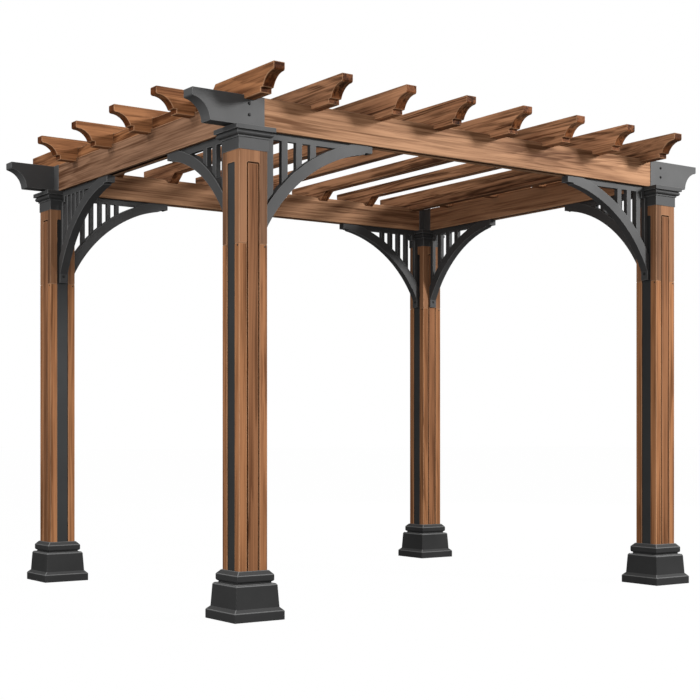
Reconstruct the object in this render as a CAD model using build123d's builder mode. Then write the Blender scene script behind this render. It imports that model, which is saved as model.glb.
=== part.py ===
"""Wooden pergola on four posts, with black metal feet, caps, corner brackets and arched gussets.

Frame: origin on the ground at the middle of the plan, +X along the front beam towards the
right-hand posts, +Y towards the back, +Z up. All sizes are in millimetres.
"""

import os
from math import sqrt

from build123d import *

os.makedirs("parts", exist_ok=True)

# Plan, from post centre to post centre
SPAN_X = 2540
SPAN_Y = 1960

# Posts: square timber with a routed channel down the middle of each face
POST = 140
SEAM_Z = 1595
CHANNEL = 62
CHANNEL_DEPTH = 8
CHANNEL_TOP = 1940
CHANNEL_CORNER = 8
INLAY_GROOVE = 6
METAL_STRIP = 3
STRIP_SUNK = 30

# Feet: hollow moulded castings on a floor plate
PLINTH = 248
FOOT_BOTTOM = 216
FOOT_TOP = 204
FOOT_RIDGE = 184
FOOT_NECK = 150
PLINTH_RISE = 39
FOOT_TAPER_Z = 54
FOOT_RIM_Z = 149
FOOT_CHAMFER = 6
FOOT_QUIRK = 8
FOOT_GROOVE_Z = 162
RIDGE_Z = 192
FOOT_HEIGHT = 210
FOOT_WALL = 8
FLOOR_PLATE = 8

# Caps: a plain collar round the post under a square moulding
CAP_BOTTOM = 1990
COLLAR = 146
COLLAR_TOP = 2040
CAP_TOP = 2090
CAP = 196
CAP_FASCIA = 20
CAP_FILLET = 5
FILLET_RISE = 8
ROLL_RISE = 18
ROLL_TOP = 27
ROLL_FOOT = 162
ROLL = 182
ROLL_HEAD = 172
CAP_PLATE = 8

# Beams: a grooved underside, the long pair along X and the short pair along Y
BEAM_T = 70
BEAM_H = 138
BEAM_GROOVE = 30
BEAM_GROOVE_DEPTH = 12
BEAM_TOP = CAP_TOP + BEAM_H

# Corner brackets: plates over the beam end, a hollow scroll tail, and a hanger for the side beam
PLATE = 3
BRACKET_T = BEAM_T + 2 * PLATE
BRACKET_INNER = 76
BRACKET_NOSE = 276
BRACKET_NOSE_H = 36
BRACKET_NOSE_ROUND = 8
BRACKET_SCOOP = 84
BRACKET_LIFT = 10
BRACKET_HEEL = 8
BRACKET_HEEL_SLOPE = 2
BRACKET_WALL = 5
HANGER_LENGTH = CAP / 2 - BRACKET_T / 2

# Gussets: rails and slats behind a broad arched band, measured from the post's centre
# line outwards and from the beam's underside downwards
GUSSET_TIP = 660
GUSSET_DROP = 490
GUSSET_RAIL = 30
GUSSET_SIDE = 94
GUSSET_CORNER = 118
GUSSET_CORNER_DROP = 62
GUSSET_T = 24
SLAT_SHARE = 0.42
ARCH_T = 45
ARCH_CENTRE = (741, -759)
ARCH_RADIUS = 729
ARCH_BAND = 51
ARCH_FOOT = 84
ARCH_TIP_LENGTH = 42
ARCH_TIP_H = 33
ARCH_TIP_SLOPE = 4

# Rafters and side tails share one height, thickness and scroll; the inner rafters are cut
# shallower between the beams, so that the sky shows between them from below
RAFTER_T = 56
RAFTER_H = 112
RAFTER_NOTCH = 18
RAFTER_RELIEF = 50
RELIEF_HEEL = 4
RELIEF_SLOPE = 64
RAFTER_COUNT = 8
RAFTER_PITCH = 344
RAFTER_NOSE = 275
RAFTER_BOTTOM = BEAM_TOP - RAFTER_NOTCH
RAFTER_TOP = RAFTER_BOTTOM + RAFTER_H
TAIL_NOSE = 230
TAIL_PITCH = 420
TAIL_COUNT = 4
TAIL_SHIFT = 50
TAIL_INNER = 100
LOW_DROP = 40
LOW_HALF = 735
LOW_SLOPE = 40
SCROLL_NOSE_H = 36
SCROLL_NOSE_ROUND = 10
SCROLL_SCOOP = 86
SCROLL_LEDGE = 16
SCROLL_STEP = 21
SCOOP_SAG = 0.16

CORNERS = {
    "front_left": (-1, -1),
    "front_right": (1, -1),
    "back_left": (-1, 1),
    "back_right": (1, 1),
}

# The back left post stands a quarter turn round from the others
TURNED_POST = "back_left"

# Slats in each gusset, as their number and the middles of the first and last
SLATS = {
    "front_gusset_left": (4, 121, 344),
    "front_gusset_right": (3, 141, 281),
    "right_gusset_front": (6, 142, 437),
    "back_gusset_right": (4, 160, 348),
    "back_gusset_left": (5, 146, 350),
    "left_gusset_back": (5, 146, 350),
}
SLATS_ELSEWHERE = (3, 160, 324)


def write(piece, name):
    """Label a finished piece and write it under its own name."""
    piece.label = name
    export_step(piece, f"parts/{name}.step")


def corner_centre(sx, sy, z=0):
    """Centre line of the post at one corner of the plan."""
    return (sx * SPAN_X / 2, sy * SPAN_Y / 2, z)


def write_at_corner(master, name, sx, sy, flip=False):
    """Write a copy of a piece made at a post's centre line, mirrored to its corner if handed."""
    with BuildPart() as placed:
        with Locations(corner_centre(sx, sy)):
            add(master)
    piece = placed.part
    if flip and sx > 0:
        piece = mirror(piece, about=Plane.YZ.offset(sx * SPAN_X / 2))
    if flip and sy > 0:
        piece = mirror(piece, about=Plane.XZ.offset(-sy * SPAN_Y / 2))
    write(piece, name)


def scoop(start, end):
    """Hollow curve of a scroll, from the nose's lower edge in to the heel."""
    chord = (Vector(*end) - Vector(*start)).length
    upward = 1 if end[0] > start[0] else -1
    return SagittaArc(start, end, upward * SCOOP_SAG * chord)


def square_moulding(outline, reach):
    """Mitred square block from the right half of its side view."""
    with BuildPart() as block:
        for side, mode in ((Plane.XZ, Mode.ADD), (Plane.YZ, Mode.INTERSECT)):
            with BuildSketch(side):
                with BuildLine():
                    outline()
                make_face()
                mirror(about=Plane.YZ)
            extrude(amount=reach, both=True, mode=mode)
    return block.part


def foot_outline():
    """Plinth, sloped shoulder, tapered body, groove and ridged neck of a foot."""
    groove_x = FOOT_NECK / 2 + FOOT_QUIRK
    round_foot = (groove_x, FOOT_GROOVE_Z)
    round_head = (FOOT_RIDGE / 2, FOOT_GROOVE_Z + FOOT_RIDGE / 2 - groove_x)
    Polyline(
        (0, 0),
        (PLINTH / 2, 0),
        (PLINTH / 2, PLINTH_RISE),
        (FOOT_BOTTOM / 2, FOOT_TAPER_Z),
        (FOOT_TOP / 2, FOOT_RIM_Z),
        (FOOT_TOP / 2 - FOOT_CHAMFER, FOOT_RIM_Z + FOOT_CHAMFER),
        (groove_x, FOOT_RIM_Z + FOOT_CHAMFER),
        round_foot,
    )
    TangentArc(round_foot, round_head, tangent=(1, 0))
    Polyline(
        round_head,
        (FOOT_RIDGE / 2, RIDGE_Z),
        (FOOT_NECK / 2, FOOT_HEIGHT),
        (0, FOOT_HEIGHT),
        (0, 0),
    )


def cap_outline():
    """Collar, fillet, roll and fascia of a cap."""
    fillet_z = COLLAR_TOP + FILLET_RISE
    fillet_x = COLLAR / 2 + CAP_FILLET
    roll_foot = (ROLL_FOOT / 2, fillet_z)
    roll_side = (ROLL / 2, COLLAR_TOP + ROLL_RISE)
    roll_head = (ROLL_HEAD / 2, COLLAR_TOP + ROLL_TOP)
    Polyline(
        (0, fillet_z),
        (0, CAP_BOTTOM),
        (COLLAR / 2, CAP_BOTTOM),
        (COLLAR / 2, COLLAR_TOP),
        (fillet_x, COLLAR_TOP),
        (fillet_x, fillet_z),
        roll_foot,
    )
    ThreePointArc(roll_foot, roll_side, roll_head)
    Polyline(
        roll_head,
        (ROLL_HEAD / 2, CAP_TOP - CAP_FASCIA),
        (CAP / 2, CAP_TOP - CAP_FASCIA),
        (CAP / 2, CAP_TOP),
        (0, CAP_TOP),
        (0, fillet_z),
    )


def make_foot():
    """Hollow foot that the post stands in, open only round the post."""
    cavity = FOOT_TOP - 2 * FOOT_WALL
    with BuildPart() as foot:
        add(square_moulding(foot_outline, PLINTH))
        with BuildSketch(Plane.XY.offset(FLOOR_PLATE)):
            Rectangle(cavity, cavity)
        extrude(amount=FOOT_RIM_Z - FOOT_WALL - FLOOR_PLATE, mode=Mode.SUBTRACT)
        with BuildSketch(Plane.XY.offset(FLOOR_PLATE)):
            Rectangle(POST, POST)
        extrude(amount=FOOT_HEIGHT, mode=Mode.SUBTRACT)
    return foot.part


def make_cap():
    """Cap sleeve that closes the top of the post."""
    with BuildPart() as cap:
        add(square_moulding(cap_outline, CAP))
        with BuildSketch(Plane.XY.offset(CAP_BOTTOM)):
            Rectangle(POST, POST)
        extrude(amount=CAP_TOP - CAP_PLATE - CAP_BOTTOM, mode=Mode.SUBTRACT)
    return cap.part


def post_face(turn, inset=0):
    """Plane on one face of a post at its centre line, with local Y upwards."""
    outward = Vector(1, 0, 0).rotate(Axis.Z, 90 * turn)
    along = Vector(0, 1, 0).rotate(Axis.Z, 90 * turn)
    return Plane(origin=outward * (POST / 2 - inset), x_dir=along, z_dir=outward)


def channel_outline(width, bottom, top, corner):
    """Upright strip with rounded upper corners, drawn on a post face."""
    with BuildSketch() as strip:
        with Locations((0, (bottom + top) / 2)):
            Rectangle(width, top - bottom)
        fillet(strip.vertices().group_by(Axis.Y)[-1], corner)
    return strip.sketch


def make_post(bottom, top):
    """Length of post timber with the channels on its four faces."""
    channel_head = min(CHANNEL_TOP, top + POST)
    with BuildPart() as post:
        with BuildSketch(Plane.XY.offset(bottom)):
            Rectangle(POST, POST)
        extrude(amount=top - bottom)
        for turn in range(4):
            with BuildSketch(post_face(turn)):
                add(channel_outline(CHANNEL, bottom, channel_head, CHANNEL_CORNER))
            extrude(amount=-CHANNEL_DEPTH, mode=Mode.SUBTRACT)
    return post.part


def make_strips(turns, gap, thickness):
    """Two strips on the floors of opposite channels of a post, a gap in from the channel's edge."""
    width = CHANNEL - 2 * gap
    head = CHANNEL_TOP - gap
    with BuildPart() as strips:
        for turn in turns:
            with BuildSketch(post_face(turn, CHANNEL_DEPTH)):
                add(channel_outline(width, FOOT_HEIGHT - STRIP_SUNK, head, CHANNEL_CORNER - gap))
            extrude(amount=thickness)
    return strips.part


def make_beam(length, along):
    """Beam with a groove down the middle of its underside."""
    end = Plane.YZ if along == "x" else Plane.XZ
    with BuildPart() as beam:
        with BuildSketch(end.offset(-length / 2)):
            with Locations((0, CAP_TOP + BEAM_H / 2)):
                Rectangle(BEAM_T, BEAM_H)
            with Locations((0, CAP_TOP + BEAM_GROOVE_DEPTH / 2)):
                Rectangle(BEAM_GROOVE, BEAM_GROOVE_DEPTH, mode=Mode.SUBTRACT)
        extrude(amount=length)
    return beam.part


def bracket_tail():
    """Scroll tail of a bracket, drawn from the post's outer face out to the nose at -X."""
    foot_z = CAP_TOP + BRACKET_LIFT
    nose_foot = (-BRACKET_NOSE + BRACKET_NOSE_ROUND, BEAM_TOP - BRACKET_NOSE_H)
    heel = (-BRACKET_NOSE + BRACKET_SCOOP, foot_z + BRACKET_HEEL)
    rounding = (-BRACKET_NOSE, BEAM_TOP - BRACKET_NOSE_H + BRACKET_NOSE_ROUND)
    Polyline((-POST / 2, foot_z), (-POST / 2, BEAM_TOP), (-BRACKET_NOSE, BEAM_TOP), rounding)
    TangentArc(rounding, nose_foot, tangent=(0, -1))
    scoop(nose_foot, heel)
    Polyline(heel, (heel[0] + BRACKET_HEEL_SLOPE, foot_z), (-POST / 2, foot_z))


def bracket_hollow():
    """Hollow inside the scroll tail, one wall thickness in from its outline."""
    floor_z = CAP_TOP + BRACKET_LIFT + BRACKET_WALL
    roof_z = BEAM_TOP - BRACKET_WALL
    nose_x = -BRACKET_NOSE + BRACKET_WALL
    nose_foot = (nose_x, BEAM_TOP - BRACKET_NOSE_H + BRACKET_NOSE_ROUND)
    heel = (nose_x + BRACKET_SCOOP, floor_z)
    Polyline(heel, (-POST / 2, floor_z), (-POST / 2, roof_z), (nose_x, roof_z), nose_foot)
    scoop(nose_foot, heel)


def make_bracket():
    """Corner bracket of the front left post, with its nose at -X and its hanger at +Y."""
    tail_inner = -POST / 2
    with BuildPart() as bracket:
        with BuildSketch(Plane.XZ):
            with BuildLine():
                bracket_tail()
            make_face()
            with Locations(((BRACKET_INNER + tail_inner) / 2, CAP_TOP + BEAM_H / 2)):
                Rectangle(BRACKET_INNER - tail_inner, BEAM_H)
        extrude(amount=BRACKET_T / 2, both=True)
        with BuildSketch(Plane.YZ.offset(tail_inner)):
            with Locations((0, CAP_TOP + BEAM_H / 2)):
                Rectangle(BEAM_T, BEAM_H)
        extrude(amount=BRACKET_INNER - tail_inner, mode=Mode.SUBTRACT)
        with BuildSketch(Plane.XZ):
            with BuildLine():
                bracket_hollow()
            make_face()
        extrude(amount=BRACKET_T / 2 - BRACKET_WALL, both=True, mode=Mode.SUBTRACT)
        hanger_x = (BEAM_T + PLATE) / 2
        hanger_y = BRACKET_T / 2 + HANGER_LENGTH / 2
        for side_x in (-hanger_x, hanger_x):
            with Locations((side_x, hanger_y, CAP_TOP + BEAM_H / 2)):
                Box(PLATE, HANGER_LENGTH, BEAM_H)
    return bracket.part


def arch_height(along, radius):
    """Height of the arch at a distance along the beam, from the beam's underside."""
    return ARCH_CENTRE[1] + sqrt(radius**2 - (along - ARCH_CENTRE[0]) ** 2)


def arch_outline():
    """Broad arched band from the foot on the post to the squared tip under the beam."""
    outer = ARCH_RADIUS + ARCH_BAND
    tip_heel = GUSSET_TIP - ARCH_TIP_LENGTH
    meets_beam = ARCH_CENTRE[0] - sqrt(outer**2 - ARCH_CENTRE[1] ** 2)
    crown = (meets_beam + POST / 2) / 2
    hollow = (ARCH_FOOT + tip_heel) / 2
    Polyline(
        (POST / 2, arch_height(POST / 2, outer)),
        (POST / 2, -GUSSET_DROP),
        (ARCH_FOOT, -GUSSET_DROP),
        (ARCH_FOOT, arch_height(ARCH_FOOT, ARCH_RADIUS)),
    )
    ThreePointArc(
        (ARCH_FOOT, arch_height(ARCH_FOOT, ARCH_RADIUS)),
        (hollow, arch_height(hollow, ARCH_RADIUS)),
        (tip_heel, arch_height(tip_heel, ARCH_RADIUS)),
    )
    Polyline(
        (tip_heel, arch_height(tip_heel, ARCH_RADIUS)),
        (tip_heel + ARCH_TIP_SLOPE, -ARCH_TIP_H),
        (GUSSET_TIP, -ARCH_TIP_H),
        (GUSSET_TIP, 0),
        (meets_beam, 0),
    )
    ThreePointArc(
        (meets_beam, 0), (crown, arch_height(crown, outer)), (POST / 2, arch_height(POST / 2, outer))
    )


def bar(left, right, bottom, top):
    """Flat bar of a gusset, drawn by its edges."""
    with Locations(((left + right) / 2, (bottom + top) / 2)):
        Rectangle(right - left, top - bottom)


def make_gusset(slats, first, last):
    """Gusset on the +X side of a post with a row of slats, and with its top at z = 0."""
    pitch = (last - first) / (slats - 1)
    half_slat = SLAT_SHARE * pitch / 2
    collar_face = COLLAR / 2
    below_collar = CAP_BOTTOM - CAP_TOP
    below_moulding = COLLAR_TOP - CAP_TOP
    with BuildPart() as gusset:
        with BuildSketch(Plane.XZ):
            bar(CAP / 2, GUSSET_TIP, -GUSSET_RAIL, 0)
            bar(CAP / 2, GUSSET_CORNER, -GUSSET_CORNER_DROP, 0)
            bar(collar_face, GUSSET_CORNER, -GUSSET_CORNER_DROP, below_moulding)
            bar(collar_face, GUSSET_SIDE, below_collar, below_moulding)
            bar(POST / 2, GUSSET_SIDE, arch_height(GUSSET_SIDE, ARCH_RADIUS), below_collar)
            for slat in range(slats):
                middle = first + slat * pitch
                foot_z = arch_height(middle, ARCH_RADIUS + ARCH_BAND / 2)
                bar(middle - half_slat, middle + half_slat, foot_z, 0)
        extrude(amount=GUSSET_T / 2, both=True)
        with BuildSketch(Plane.XZ):
            with BuildLine():
                arch_outline()
            make_face()
        extrude(amount=ARCH_T / 2, both=True)
    return gusset.part


def scroll_end(nose, beam_face):
    """Scrolled end of a rafter or tail, from the top of its nose in to the beam's outer face."""
    rounding = (nose, RAFTER_TOP - SCROLL_NOSE_H + SCROLL_NOSE_ROUND)
    nose_foot = (nose - SCROLL_NOSE_ROUND, RAFTER_TOP - SCROLL_NOSE_H)
    ledge_z = RAFTER_BOTTOM + SCROLL_STEP
    heel = (nose - SCROLL_SCOOP, ledge_z)
    step_x = heel[0] - SCROLL_LEDGE
    Line((nose, RAFTER_TOP), rounding)
    TangentArc(rounding, nose_foot, tangent=(0, -1))
    scoop(nose_foot, heel)
    Polyline(
        heel,
        (step_x, ledge_z),
        (step_x, RAFTER_BOTTOM),
        (beam_face, RAFTER_BOTTOM),
        (beam_face, BEAM_TOP),
    )


def notched_underside(relief):
    """Underside of a rafter over a long beam, relieved inside it; returns its height at mid-span."""
    outer = SPAN_Y / 2 + BEAM_T / 2
    inner = SPAN_Y / 2 - BEAM_T / 2
    heel = (inner - RELIEF_HEEL, RAFTER_BOTTOM)
    Polyline((outer, BEAM_TOP), (inner, BEAM_TOP), (inner, RAFTER_BOTTOM), heel)
    middle_z = RAFTER_BOTTOM + relief
    if relief:
        Polyline(heel, (heel[0] - RELIEF_SLOPE, middle_z), (0, middle_z))
    else:
        Line(heel, (0, middle_z))
    return middle_z


def make_rafter(x, relief):
    """Rafter along Y, notched over the front and back beams."""
    half = SPAN_Y / 2
    with BuildPart() as rafter:
        with BuildSketch(Plane.YZ.offset(x)):
            with BuildLine():
                scroll_end(half + RAFTER_NOSE, half + BEAM_T / 2)
                middle_z = notched_underside(relief)
                Polyline((0, middle_z), (0, RAFTER_TOP), (half + RAFTER_NOSE, RAFTER_TOP))
            make_face()
            mirror(about=Plane.YZ)
        extrude(amount=RAFTER_T / 2, both=True)
    return rafter.part


def make_end_rafter(x):
    """Rafter along Y that stands on a side beam, cut down where the tails lap over it."""
    half = SPAN_Y / 2
    seat = half + BRACKET_T / 2
    low_z = RAFTER_TOP - LOW_DROP
    with BuildPart() as rafter:
        with BuildSketch(Plane.YZ.offset(x)):
            with BuildLine():
                scroll_end(half + RAFTER_NOSE, seat)
                Polyline(
                    (seat, BEAM_TOP),
                    (0, BEAM_TOP),
                    (0, low_z),
                    (LOW_HALF, low_z),
                    (LOW_HALF + LOW_SLOPE, RAFTER_TOP),
                    (half + RAFTER_NOSE, RAFTER_TOP),
                )
            make_face()
            mirror(about=Plane.YZ)
        extrude(amount=RAFTER_T / 2, both=True)
    return rafter.part


def lapped_underside():
    """Underside of a tail over a side beam and the end rafter that stands on it."""
    half = BEAM_T / 2
    rafter_half = RAFTER_T / 2
    low_z = RAFTER_TOP - LOW_DROP
    Polyline(
        (half, BEAM_TOP),
        (rafter_half, BEAM_TOP),
        (rafter_half, low_z),
        (-rafter_half, low_z),
        (-rafter_half, BEAM_TOP),
        (-half, BEAM_TOP),
    )


def make_tails(side, inner_end, laps_rafter):
    """Short tails over one side beam, from their inner ends out to their noses."""
    half = BEAM_T / 2
    first = TAIL_SHIFT - (TAIL_COUNT - 1) * TAIL_PITCH / 2
    with BuildPart() as tails:
        for number in range(TAIL_COUNT):
            with BuildSketch(Plane.XZ.offset(-first - number * TAIL_PITCH)):
                with BuildLine():
                    scroll_end(TAIL_NOSE, half)
                    if laps_rafter:
                        lapped_underside()
                    else:
                        Line((half, BEAM_TOP), (-half, BEAM_TOP))
                    Polyline(
                        (-half, BEAM_TOP),
                        (-half, RAFTER_BOTTOM),
                        (inner_end, RAFTER_BOTTOM),
                        (inner_end, RAFTER_TOP),
                        (TAIL_NOSE, RAFTER_TOP),
                    )
                make_face()
            extrude(amount=RAFTER_T / 2, both=True)
    piece = tails.part
    if side < 0:
        piece = mirror(piece, about=Plane.YZ)
    with BuildPart() as placed:
        with Locations((side * SPAN_X / 2, 0, 0)):
            add(piece)
    return placed.part


# Feet, posts, caps and brackets, one of each at every corner
foot = make_foot()
post_lower = make_post(FLOOR_PLATE, SEAM_Z)
post_upper = make_post(SEAM_Z, CAP_TOP - CAP_PLATE)
cap = make_cap()
bracket = make_bracket()
for corner, (sx, sy) in CORNERS.items():
    write_at_corner(foot, f"foot_{corner}", sx, sy)
    write_at_corner(post_lower, f"post_lower_{corner}", sx, sy)
    write_at_corner(post_upper, f"post_upper_{corner}", sx, sy)
    write_at_corner(cap, f"cap_{corner}", sx, sy)
    write_at_corner(bracket, f"bracket_{corner}", sx, sy, flip=True)

# Strips in the post channels: timber on one pair of faces, black metal on the other
timber_strips = make_strips((1, 3), INLAY_GROOVE, CHANNEL_DEPTH)
metal_strips = make_strips((0, 2), 0, METAL_STRIP)
for strips, name in ((timber_strips, "post_inlays"), (metal_strips, "post_metal_strips")):
    with BuildPart() as all_strips:
        for corner, (sx, sy) in CORNERS.items():
            turn = 90 if corner == TURNED_POST else 0
            with Locations(Location(corner_centre(sx, sy), (0, 0, turn))):
                add(strips)
    write(all_strips.part, name)

# Beams: the long pair runs over the posts into the brackets, the side pair between hangers
long_beam = make_beam(SPAN_X + POST, "x")
side_beam = make_beam(SPAN_Y - BRACKET_T, "y")
for master, name, where in (
    (long_beam, "beam_front", (0, -SPAN_Y / 2, 0)),
    (long_beam, "beam_back", (0, SPAN_Y / 2, 0)),
    (side_beam, "beam_left", (-SPAN_X / 2, 0, 0)),
    (side_beam, "beam_right", (SPAN_X / 2, 0, 0)),
):
    with BuildPart() as beam:
        with Locations(where):
            add(master)
    write(beam.part, name)

# Gussets: two on every post, one along each beam
gussets = {row: make_gusset(*row) for row in {SLATS_ELSEWHERE, *SLATS.values()}}
for corner, (sx, sy) in CORNERS.items():
    depth, side = corner.split("_")
    for name, turn in (
        (f"{depth}_gusset_{side}", 0 if sx < 0 else 180),
        (f"{side}_gusset_{depth}", 90 if sy < 0 else 270),
    ):
        with BuildPart() as placed_gusset:
            with Locations(Location(corner_centre(sx, sy, CAP_TOP), (0, 0, turn))):
                add(gussets[SLATS.get(name, SLATS_ELSEWHERE)])
        write(placed_gusset.part, name)

# Rafters: the first stands on the left side beam, the rest run at one pitch to the right,
# and the last keeps its full depth to take the tails
write(make_end_rafter(-SPAN_X / 2), "rafter_1")
for number in range(1, RAFTER_COUNT):
    rafter_x = -SPAN_X / 2 + number * RAFTER_PITCH
    relief = 0 if number == RAFTER_COUNT - 1 else RAFTER_RELIEF
    write(make_rafter(rafter_x, relief), f"rafter_{number + 1}")

# Side tails: the left ones lap over the end rafter, the right ones butt against the last one
last_rafter_x = -SPAN_X / 2 + (RAFTER_COUNT - 1) * RAFTER_PITCH
write(make_tails(-1, -TAIL_INNER, True), "left_tails")
write(make_tails(1, last_rafter_x + RAFTER_T / 2 - SPAN_X / 2, False), "right_tails")
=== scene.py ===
"""Dress the wooden pergola in stained timber and black powder coat, in a pale studio.

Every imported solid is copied, its arrises are eased, and the copy stands in its place. Bolts and
screws are added where the solids leave them out. Lengths are in metres, in the frame of the solids.
"""

import logging
import math
import random
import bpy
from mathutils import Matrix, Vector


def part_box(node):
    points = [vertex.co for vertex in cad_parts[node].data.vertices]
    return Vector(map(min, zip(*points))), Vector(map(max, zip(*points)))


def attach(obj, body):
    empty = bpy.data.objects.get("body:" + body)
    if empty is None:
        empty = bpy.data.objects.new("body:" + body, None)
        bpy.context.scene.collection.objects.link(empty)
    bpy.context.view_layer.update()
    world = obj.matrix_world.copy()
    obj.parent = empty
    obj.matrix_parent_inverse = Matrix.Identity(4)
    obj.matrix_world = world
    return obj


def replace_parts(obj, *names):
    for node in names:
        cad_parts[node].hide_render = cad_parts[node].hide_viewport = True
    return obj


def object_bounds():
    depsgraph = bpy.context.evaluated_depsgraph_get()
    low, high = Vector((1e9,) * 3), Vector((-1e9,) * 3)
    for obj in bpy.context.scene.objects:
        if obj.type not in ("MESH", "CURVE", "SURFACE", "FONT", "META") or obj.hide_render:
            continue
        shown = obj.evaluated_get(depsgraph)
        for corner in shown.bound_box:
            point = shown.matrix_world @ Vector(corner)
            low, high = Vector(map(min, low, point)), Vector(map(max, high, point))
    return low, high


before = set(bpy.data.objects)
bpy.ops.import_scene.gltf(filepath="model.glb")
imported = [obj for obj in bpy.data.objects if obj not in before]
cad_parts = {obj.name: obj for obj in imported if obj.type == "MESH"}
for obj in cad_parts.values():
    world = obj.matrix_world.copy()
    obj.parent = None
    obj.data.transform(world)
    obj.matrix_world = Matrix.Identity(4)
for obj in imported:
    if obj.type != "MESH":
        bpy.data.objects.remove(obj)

import zlib
from dataclasses import dataclass, replace
from enum import Enum
from functools import cache
from typing import Iterator, Union

import bmesh
import bpy
from mathutils import Euler, Matrix, Vector

Triple = tuple[float, float, float]
Span = tuple[float, float]
Feed = Union[bpy.types.NodeSocket, float, tuple]

log = logging.getLogger("pergola")

CAD_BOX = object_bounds()
BODY = "root"
CORNERS = ("front_left", "front_right", "back_left", "back_right")

# Copies of the solids: reach of the weld, and the angles for flat joins, eased edges and smooth shading
WELD = 1e-5
FLAT_ANGLE = math.radians(0.2)
SHARP_ANGLE = math.radians(30)
SMOOTH_ANGLE = math.radians(18)

# Posts: width of a stile beside the channel, and the depth within which a point is still on the face
STILE = 0.039
FACE_DEPTH = 0.004

# Where a board is cut from the endless figure: along, across and through it
CUT_SPANS = ((-40.0, 40.0), (0.04, 0.12), (-0.12, 0.12))

# Worn arrises, which also carry a painted highlight, and the coat's cloud and peel: waves per metre, and
# spans of smooth steps
WEAR_AND_HIGHLIGHT_WAVES = (14.0, 14.0, 14.0)
WEAR_AND_HIGHLIGHT_SPAN = (0.20, 0.52)
CLOUD_WAVES = (5.0, 5.0, 5.0)
CLOUD_SPAN = (0.25, 0.80)
PEEL_WAVES = (420.0, 420.0, 420.0)

# Tints that darken the stain, a painted shade for the grooves and other sunk faces, and the pale wood of
# worn arrises, which also serves as a painted highlight
SMOKE_TINT = (0.42, 0.35, 0.32)
VEIN_TINT = (0.34, 0.27, 0.23)
KNOT_TINT = (0.25, 0.19, 0.16)
CUT_END_TINT = (0.46, 0.34, 0.25)
CHEEK_TINT = (0.30, 0.34, 0.42)
RECESS_SHADE_TINT = (0.20, 0.17, 0.15)
RUBBED_WOOD_AND_HIGHLIGHT = (0.58, 0.34, 0.20)

# Spans of smooth steps: how far a face looks along the grain, and depth below the long faces, over which
# the painted shade of sunk faces grows
CUT_END_SPAN = (0.25, 0.75)
RECESS_SHADE_SPAN = (0.002, 0.006)

# Dusty coat on faces that look up, with painted light from above, and a painted highlight on the upper
# arrises, with the spans of how far a face looks up
DUST_AND_TOP_LIGHT = (0.20, 0.20, 0.20)
DUST_AND_TOP_LIGHT_SPAN = (0.2, 0.8)
CREST_HIGHLIGHT_GREY = (0.34, 0.34, 0.34)
CREST_HIGHLIGHT_SPAN = (0.1, 0.4)

WHITE = (1.0, 1.0, 1.0, 1.0)


def at_corners(prefix: str) -> tuple[str, ...]:
    """Names of the four solids of one kind, one at each corner."""
    return tuple(f"{prefix}_{corner}" for corner in CORNERS)


def gussets_at(corner: str) -> tuple[str, str]:
    """Names of the two gussets on the post at one corner."""
    depth, side = corner.split("_")
    return f"{depth}_gusset_{side}", f"{side}_gusset_{depth}"


def middle_of(node: str) -> Vector:
    """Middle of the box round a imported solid."""
    low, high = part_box(node)
    return (low + high) / 2


def grey(level: float) -> Triple:
    """Colour without a tint."""
    return (level, level, level)


class Grain(Enum):
    """Way the grain of a timber runs, as the turn that lays it along X."""

    ALONG_X = (0.0, 0.0, 0.0)
    ALONG_Y = (0.0, 0.0, -math.pi / 2)
    ALONG_Z = (0.0, math.pi / 2, 0.0)

    @property
    def axis(self) -> Triple:
        """Unit vector along the grain."""
        return tuple(float(letter == self.name[-1]) for letter in "XYZ")


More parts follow.
